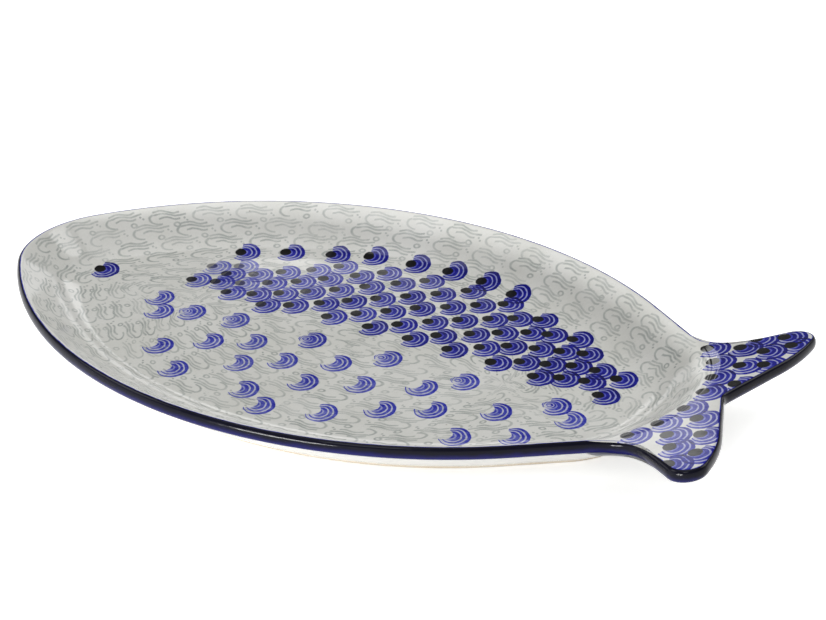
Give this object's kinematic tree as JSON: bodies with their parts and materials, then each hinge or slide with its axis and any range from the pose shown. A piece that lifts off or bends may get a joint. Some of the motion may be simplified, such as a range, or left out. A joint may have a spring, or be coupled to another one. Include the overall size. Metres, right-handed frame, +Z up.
{
  "type": "fish shaped platter",
  "caption": "Shallow fish shaped stoneware platter with a round painted lip, a tilted tail fan as handle and a foot ring underneath.",
  "frame": {"origin": "middle of the platter's length and width, on the surface it stands on", "axes": "+X from the nose towards the tail, +Y towards the back of the fish, +Z up out of the dish"},
  "size_m": [0.38, 0.23, 0.0334],
  "materials": {
    "white_glaze": "gloss",
    "cobalt_glaze": "gloss",
    "bare_stoneware": "matt"
  },
  "bodies": {
    "root": {"dish_body": "white_glaze", "rim_band": "cobalt_glaze", "foot_ring": "bare_stoneware"}
  },
  "joints": []
}
